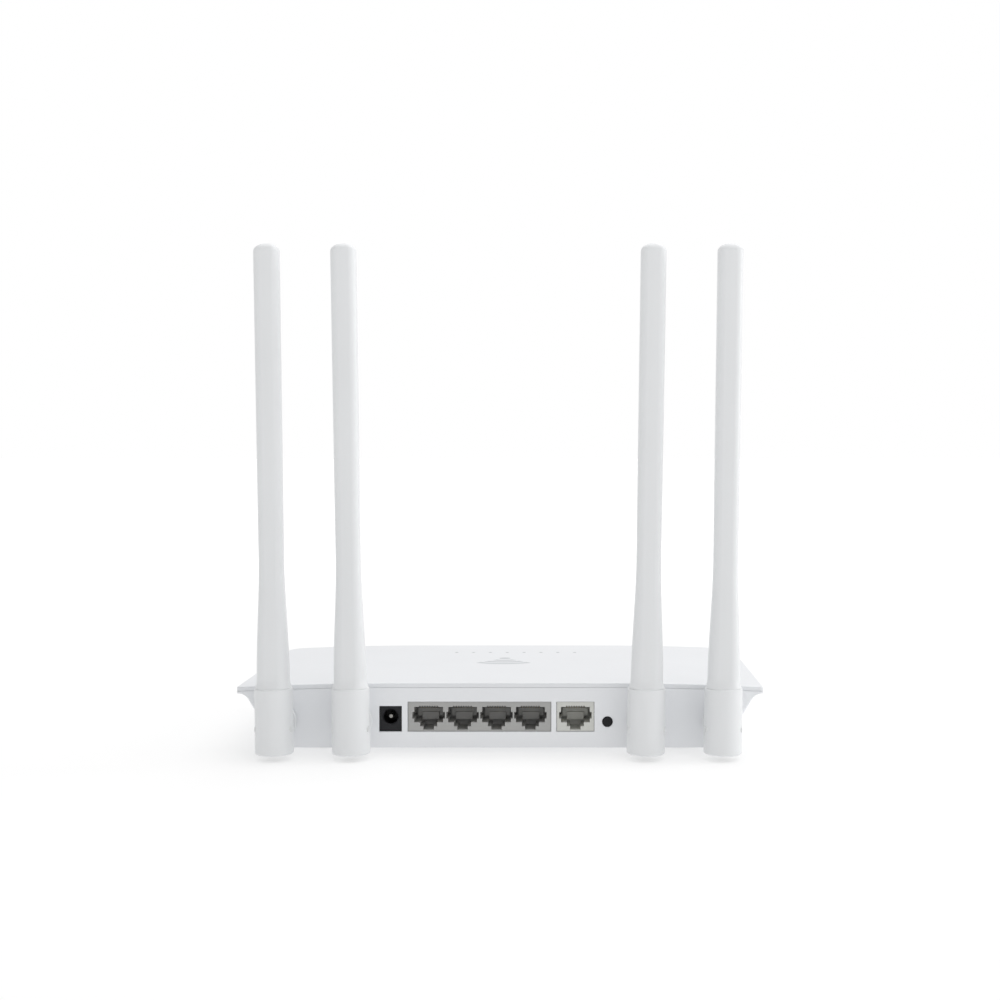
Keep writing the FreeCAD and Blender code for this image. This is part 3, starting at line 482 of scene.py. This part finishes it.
def jack_moulding(name, colour, gloss, first_x):
    """Jack plastic with painted shade: near-black in the comb of slots above each port and at
    the top back of the port cavity.
    """
    jack = moulded(name, colour, gloss, 0.000012, 0.0003, edge=0.00012)
    from_port = (jack.x - first_x + port_pitch / 2) % port_pitch - port_pitch / 2
    # Painted shade: the comb of slots above each port is painted near-black as the shade
    # inside them.
    slot_shade = (from_port % contact_pitch - contact_pitch / 2).within(0.00029, 0.00002)
    slot_shade = slot_shade * from_port.within(contact_pitch * 4)
    slot_shade = slot_shade * (jack.z - port_ceiling - 0.00025).within(0.00023, 0.00002)
    # Painted shade: the top back of the port cavity is painted near-black.
    recess_shade_y = jack_face_y + recess_shade_depth
    recess_shade = jack.z.rise(recess_shade_z, recess_shade_z + 0.00004)
    recess_shade = recess_shade * jack.y.rise(recess_shade_y, recess_shade_y + 0.0002)
    painted_shade = slot_shade.most(recess_shade)
    jack.feed("Base Color", jack.blend(jack.tint, (0.015, 0.015, 0.015), painted_shade))
    return jack


grey = jack_moulding("jack_grey", (0.395, 0.395, 0.385), 0.46, lan_first_x)
grey.dress("lan_jack")
ivory = jack_moulding("jack_ivory", (0.620, 0.625, 0.590), 0.44, wan_x)
ivory.dress("wan_jack")

# The spring contacts: round phosphor-bronze wire bent to run along the jack's roof and
# then back and down into the port, eight to a port. Only the sloping arm, which a plug
# rubs on, is gold; the rest is nickel, painted near-black along the roof as the shade in the
# slots.
gold = Finish("contact_gold", Metallic=1.0)
wear = gold.noise(0.0012, 4.0)
# Painted shade: the wire above the port ceiling is painted near-black.
roof_painted_shade = gold.z.rise(port_ceiling - 0.0007, port_ceiling - 0.0003)
flash = gold.blend((0.72, 0.52, 0.22), (0.92, 0.70, 0.34), wear)
gold.feed("Base Color", gold.blend(flash, (0.030, 0.030, 0.030), roof_painted_shade))
gold.feed("Roughness", wear * 0.15 + 0.20)
gold.relief(gold.noise(0.0004), 0.000006)

wires_to_a_port = 8.0
wires = Recipe(
    "contact_wires",
    Ports=1,
    First=0.0,
    Port_pitch=port_pitch,
    Wire_pitch=contact_pitch,
    Radius=0.000148,
)
bend_depth, arm_reach, arm_drop, roof_depth = 0.0018, 0.0074, 0.0020, 0.0134
wire_inset, end_gap = 0.00015, 0.0001
roof_z = port_ceiling + slot_height - wire_inset
front_y = jack_face_y + bend_depth + 0.00016
back_y = jack_face_y + roof_depth - end_gap
tip_y = jack_face_y + bend_depth + arm_reach - end_gap
tip_z = port_ceiling - arm_drop + wire_inset
front, back, tip = (0, front_y, roof_z), (0, back_y, roof_z), (0, tip_y, tip_z)
line_kind = "GeometryNodeCurvePrimitiveLine"
straight = wires.node(line_kind, None, {"Start": back, "End": front})
arm = wires.node(line_kind, None, {"Start": front, "End": tip})
round_values = {"Resolution": 8, "Radius": wires.Radius}
profile = wires.node("GeometryNodeCurvePrimitiveCircle", None, round_values)
bent = []
for stretch in (straight, arm):
    drawn_values = {"Curve": stretch, "Profile Curve": profile, "Fill Caps": True}
    bent.append(wires.node("GeometryNodeCurveToMesh", None, drawn_values))
ball_values = {"Segments": 8, "Rings": 6, "Radius": wires.Radius}
knee = wires.node("GeometryNodeMeshUVSphere", None, ball_values)
knee = wires.node("GeometryNodeTransform", None, {"Geometry": knee, "Translation": front})
number = wires.node("GeometryNodeInputIndex")
in_port = number % wires_to_a_port - (wires_to_a_port - 1) / 2
port = (number / wires_to_a_port).floor()
wire_x = wires.First + port * wires.Port_pitch + in_port * wires.Wire_pitch
comb_values = {"Count": wires.Ports * wires_to_a_port, "Offset": (0.001, 0, 0)}
comb_points = wires.node("GeometryNodeMeshLine", None, comb_values)
comb_values = {"Geometry": comb_points, "Position": wires.vector(wire_x)}
comb_points = wires.node("GeometryNodeSetPosition", None, comb_values)
comb_values = {"Points": comb_points, "Instance": wires.joined(*bent, knee)}
all_wires = wires.node("GeometryNodeInstanceOnPoints", None, comb_values)
wires.finished(all_wires, gold.material, True)
lan_wires = wires.made("lan_contact_wires", "base", "contact_gold", Ports=4, First=lan_first_x)
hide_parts("lan_contacts")
wan_wires = wires.made("wan_contact_wires", "base", "contact_gold", Ports=1, First=wan_x)
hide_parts("wan_contacts")

# ---------------------------------------------------------------- power jack
# A square black nylon block with a round mouth. The centre pin is turned brass and
# the leaf spring is stamped; both are nickel plated.
nylon_colour = (0.0085, 0.0088, 0.0110)
nylon_face = {"edge": 0.0001, "Specular_IOR_Level": 0.3}
nylon = moulded("power_nylon", nylon_colour, 0.42, 0.000008, 0.0003, **nylon_face)
nylon.dress("power_jack")
nickel = Finish("power_nickel", Metallic=1.0)
scratch = nickel.noise(0.0006, 3.0, nickel.place * (1.0, 0.1, 1.0))
nickel.feed("Base Color", nickel.blend((0.22, 0.22, 0.21), (0.34, 0.33, 0.31), scratch))
nickel.feed("Roughness", scratch * 0.16 + 0.16)
nickel.relief(scratch, 0.000008)
nickel.dress("power_pin", "power_spring")

# ---------------------------------------------------------------- reset button
# A black acetal cap that floats in a hole in the panel, held by its flange, with the
# switch and its plunger behind it on the board.
acetal_colour = (0.0070, 0.0070, 0.0085)
acetal_face = {"Specular_IOR_Level": 0.25}
acetal = moulded("button_acetal", acetal_colour, 0.40, 0.000006, 0.0004, **acetal_face)
acetal.dress("reset_cap", "reset_plunger", "reset_switch")

# ---------------------------------------------------------------- status lights
# Eight small yellow-phosphor chips under one clear acrylic light guide whose pins
# come up flush through the cover. They are dark, so the pins look like grey dots.
phosphor = Finish("light_phosphor", Coat_Weight=0.5)
dome = phosphor.noise(0.0006, 2.0)
phosphor.feed("Base Color", phosphor.blend((0.62, 0.52, 0.12), (0.74, 0.68, 0.36), dome))
phosphor.feed("Roughness", dome * 0.15 + 0.22)
phosphor.relief(dome, 0.00002)
phosphor.dress("light_chips")
clear = Finish("guide_acrylic", Transmission_Weight=0.55, IOR=1.49)
haze = clear.noise(0.002, 3.0)
pin_tip = clear.z.rise(0.0281, 0.0283)
clear.feed("Base Color", clear.blend((0.74, 0.76, 0.78), (0.36, 0.37, 0.39), pin_tip))
clear.feed("Roughness", haze * 0.12 + pin_tip * 0.3 + 0.10)
clear.relief(haze, 0.00001)
clear.dress("light_guide")

# ---------------------------------------------------------------- antenna leads
# Thin black coaxial leads, extruded with a glossy jacket, soldered to the board and
# led through the hollow swivel shafts up into the antennas, one pair for each of four.
jacket = Finish("lead_jacket")
ripple = jacket.noise(0.003, 3.0)
jacket.feed("Base Color", jacket.blend((0.012, 0.012, 0.012), (0.028, 0.028, 0.030), ripple))
jacket.feed("Roughness", ripple * 0.15 + 0.28)
jacket.relief(ripple, 0.00002)
numbers = ("1", "2", "3", "4")
jacket.dress(*["inner_lead_" + i for i in numbers], *["antenna_lead_" + i for i in numbers])

# ---------------------------------------------------------------- antennas
# Each is a hollow sleeve, a round barrel below it and the swivel knuckle, moulded in
# satin white ABS; the sleeve's spigot is glued into the barrel. Inside it a drawn
# brass radiator is soldered to the lead. An acetal pin and snap ring hold the joints.
satin_colour = (0.790, 0.802, 0.812)
satin = moulded("antenna_moulding", satin_colour, 0.40, 0.000005, 0.0005)
satin.dress(*["antenna_barrel_" + i for i in numbers])
satin.dress(*["antenna_knuckle_" + i for i in numbers])
natural = moulded("acetal_natural", (0.74, 0.75, 0.75), 0.36, 0.000004, 0.0004)
natural.dress(*["antenna_pin_" + i for i in numbers], *["antenna_ring_" + i for i in numbers])
brass = Finish("radiator_brass", Metallic=1.0)
drawn = brass.noise(0.0008, 4.0, brass.place * (1.0, 1.0, 0.05))
brass.feed("Base Color", brass.blend((0.58, 0.42, 0.16), (0.78, 0.60, 0.28), drawn))
brass.feed("Roughness", drawn * 0.2 + 0.22)
brass.relief(drawn, 0.00001)
brass.dress(*["antenna_radiator_" + i for i in numbers])

# The sleeve follows one rule from the barrel to the domed tip: a rounded rectangle
# that eases from the neck into the blade. Heights are above the swivel axis.
swivel_z, swivel_y = 0.0139, panel_y - 0.0135
sleeve = Recipe(
    "sleeve_rule",
    Around=48,
    Along=150,
    Stand=0.0,
    Lean=0.0,
    Foot=0.0290 - swivel_z,
    Neck=0.0320 - swivel_z,
    Blade=0.0800 - swivel_z,
    Top=0.20798 - swivel_z,
    Dome=0.0032,
    Spigot=0.00598,
)
index = sleeve.node("GeometryNodeInputIndex")
column_count = sleeve.Around + 1.0
ring_number = (index / column_count).floor()
turn = (index % column_count + 0.5) / sleeve.Around * math.tau
along = ((ring_number - 1.0) / (sleeve.Along - 3.0)).most(0.0).least(1.0)
crowding = 1.7
height = sleeve.Top - (sleeve.Top - sleeve.Foot) * (1.0 - along) ** crowding
foot_flare = (height - sleeve.Foot) / (sleeve.Neck - sleeve.Foot)
foot_flare = (1.0 - foot_flare).most(0.0) ** 2.0
swell = 1.0 - height.rise(sleeve.Neck, sleeve.Blade)
widening = ((height - sleeve.Blade) / (sleeve.Top - sleeve.Blade)).most(0.0)
up_dome = ((height - sleeve.Top) / sleeve.Dome + 1.0).most(0.0)
closing = (1.0 - up_dome * up_dome).most(0.0).root()
half_x = 0.00500 + swell * 0.00145 + foot_flare * 0.00065 + widening * 0.00020
half_y = 0.00400 + swell * 0.00150 + foot_flare * 0.00110
half_x, half_y = half_x * closing, half_y * closing
corner = half_y * 0.82
shut = ring_number.under(0.5) + (sleeve.Along - 1.5 - ring_number).under(0.0)
cosine, sine = turn.cosine(), turn.sine()
skin_x = (cosine.sign() * (half_x - corner) + corner * cosine) * (1.0 - shut)
skin_y = (sine.sign() * (half_y - corner) + corner * sine) * (1.0 - shut)
sheet_values = {"Size X": 1.0, "Size Y": 1.0}
sheet_values |= {"Vertices X": sleeve.Along, "Vertices Y": column_count}
skin = sleeve.node("GeometryNodeMeshGrid", None, sheet_values)
wrapped = {"Geometry": skin, "Position": sleeve.vector(skin_x, skin_y, height)}
skin = sleeve.node("GeometryNodeSetPosition", None, wrapped)
welds = {"Geometry": skin, "Distance": 0.000002}
skin = sleeve.node("GeometryNodeMergeByDistance", None, welds)
spigot_depth = 0.0055
rod_values = {"Vertices": sleeve.Around, "Radius": sleeve.Spigot, "Depth": spigot_depth}
spigot = sleeve.node("GeometryNodeMeshCylinder", None, rod_values)
hang = sleeve.vector(0.0, 0.0, sleeve.Foot - spigot_depth / 2)
spigot = sleeve.node("GeometryNodeTransform", None, {"Geometry": spigot, "Translation": hang})
lean = sleeve.node("FunctionNodeEulerToRotation", None, (sleeve.vector(0.0, sleeve.Lean),))
stood = {"Geometry": sleeve.joined(skin, spigot), "Rotation": lean}
stood["Translation"] = sleeve.vector(sleeve.Stand, swivel_y, swivel_z)
sleeve.finished(sleeve.node("GeometryNodeTransform", None, stood), satin.material, True)
antenna_lean = math.radians(0.92)
for i, stand in zip(numbers, (-0.0905, -0.0595, 0.0595, 0.0905)):
    changes = {"Stand": stand, "Lean": math.copysign(antenna_lean, stand)}
    blade = sleeve.made("antenna_skin_" + i, "antenna_" + i, "antenna_white", **changes)
    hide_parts("antenna_sleeve_" + i)

# ---------------------------------------------------------------- top cover
# One white ABS plate, crowned towards the sides, with a polished-tool satin that shows
# a faint orange peel. It drops over the tray and four screws pull it down. The grey
# pad print is generic: a dot with three arcs and a ring round each light pin.
cover_colour = (0.785, 0.797, 0.818)
cover = moulded("cover_moulding", cover_colour, 0.36, 0.0000035, 0.0009)
emblem_shift_x, emblem_middle_y = 0.0013, 0.0255
emblem_x, emblem_y = cover.x + emblem_shift_x, emblem_middle_y - cover.y
emblem_r = (emblem_x * emblem_x + emblem_y * emblem_y).root()
dot_radius, arc_half = 0.0026, 0.0018
arcs = (emblem_r - 0.0075).within(arc_half).most((emblem_r - 0.0130).within(arc_half))
arcs = arcs.most((emblem_r - 0.0185).within(arc_half))
sector_slope, sector_blur = math.tan(math.radians(38)), 0.00005
sector = (emblem_y * sector_slope - abs(emblem_x)).rise(-sector_blur, sector_blur)
emblem = (arcs * sector).most(emblem_r.within(dot_radius))
light_x, light_y, light_pitch = 0.0029, 0.047125, 0.008
pin_x = (cover.x - light_x) % light_pitch - light_pitch / 2
pin_y = cover.y - light_y
pin_ring = (pin_x * pin_x + pin_y * pin_y).root().within(0.00095)
pin_ring = pin_ring * (cover.x - light_x).within(0.0300)
print_low_z = 0.0276
print_ink = emblem.most(pin_ring) * cover.z.rise(print_low_z, print_low_z + 0.0001)
print_tone = cover.blend((0.50, 0.52, 0.54), (0.55, 0.57, 0.59), cover.noise(0.0012))
cover.feed("Base Color", cover.blend(cover.tint, print_tone, print_ink))
cover.dress("top_cover")

# ---------------------------------------------------------------- studio
# A pale acrylic table lit from inside, a white room that is brighter ahead of the
# camera, and three softboxes: overhead, to the right and behind the camera, which
# stands level behind the port panel, a little above the case.
acrylic = Finish(
    "table_acrylic", Specular_IOR_Level=0.0, Roughness=0.9, Emission_Strength=1.0
)
pale = acrylic.noise(0.4, 2.0)
acrylic.feed("Base Color", acrylic.blend((0.48, 0.48, 0.48), (0.52, 0.52, 0.52), pale))
far = (acrylic.x * acrylic.x + acrylic.y * acrylic.y).root().rise(0.4, 1.3)
acrylic.feed("Emission Color", acrylic.blend((0.50, 0.50, 0.50), (0.80, 0.80, 0.80), far))
table_mesh = bpy.data.meshes.new("table")
reach = 40.0
table_corners = [(x * reach, y * reach, 0.0) for x, y in ((-1, -1), (1, -1), (1, 1), (-1, 1))]
table_mesh.from_pydata(table_corners, [], [(0, 1, 2, 3)])
table_mesh.materials.append(acrylic.material)
table = bpy.data.objects.new("table", table_mesh)
bpy.context.scene.collection.objects.link(table)

world = bpy.data.worlds.new("studio")
world.use_nodes = True
bpy.context.scene.world = world
room = Graph(world.node_tree)
white = (1.0, 1.0, 1.0, 1.0)
direction = room.node("ShaderNodeTexCoord", output="Generated")
ahead = room.node("ShaderNodeSeparateXYZ", None, (direction,), 1).rise(0.3, 0.95)
lit_values = {"Color": white, "Strength": ahead * 0.26 + 0.56}
lit = room.node("ShaderNodeBackground", None, lit_values)
seen = room.node("ShaderNodeBackground", None, {"Color": white, "Strength": 1.0})
camera_ray = room.node("ShaderNodeLightPath")
both = room.node("ShaderNodeMixShader", None, (camera_ray, lit, seen))
room.tree.links.new(both.socket, room.tree.nodes["World Output"].inputs["Surface"])


def softbox(name, place, aim, size, power):
    light = bpy.data.lights.new(name, "AREA")
    light.shape = "RECTANGLE"
    light.size, light.size_y = size
    light.energy = power
    lamp = bpy.data.objects.new(name, light)
    bpy.context.scene.collection.objects.link(lamp)
    lamp.location = place
    lamp.rotation_euler = (Vector(aim) - Vector(place)).to_track_quat("-Z", "Y").to_euler()


softbox("overhead", (0.3, 0.40, 1.6), (0.0, 0.1, 0.0), (2.4, 2.0), 17.5)
softbox("right_side", (1.7, 0.1, 0.6), (0.0, 0.0, 0.1), (0.8, 1.2), 8.0)
softbox("rear_fill", (0.9, -2.2, 1.0), (0.0, 0.0, 0.08), (1.6, 1.2), 4.2)

lens = bpy.data.cameras.new("camera")
lens.sensor_width = 36.0
lens.lens = 57.1
lens.shift_x = -0.071
lens.shift_y = -0.046
lens.clip_start = 0.01
camera = bpy.data.objects.new("camera", lens)
bpy.context.scene.collection.objects.link(camera)
camera.location = (0.0292, panel_y - 0.653, 0.1231)
camera.rotation_euler = (math.radians(90), 0, 0)
bpy.context.scene.camera = camera
bpy.context.scene.view_settings.view_transform = "Standard"
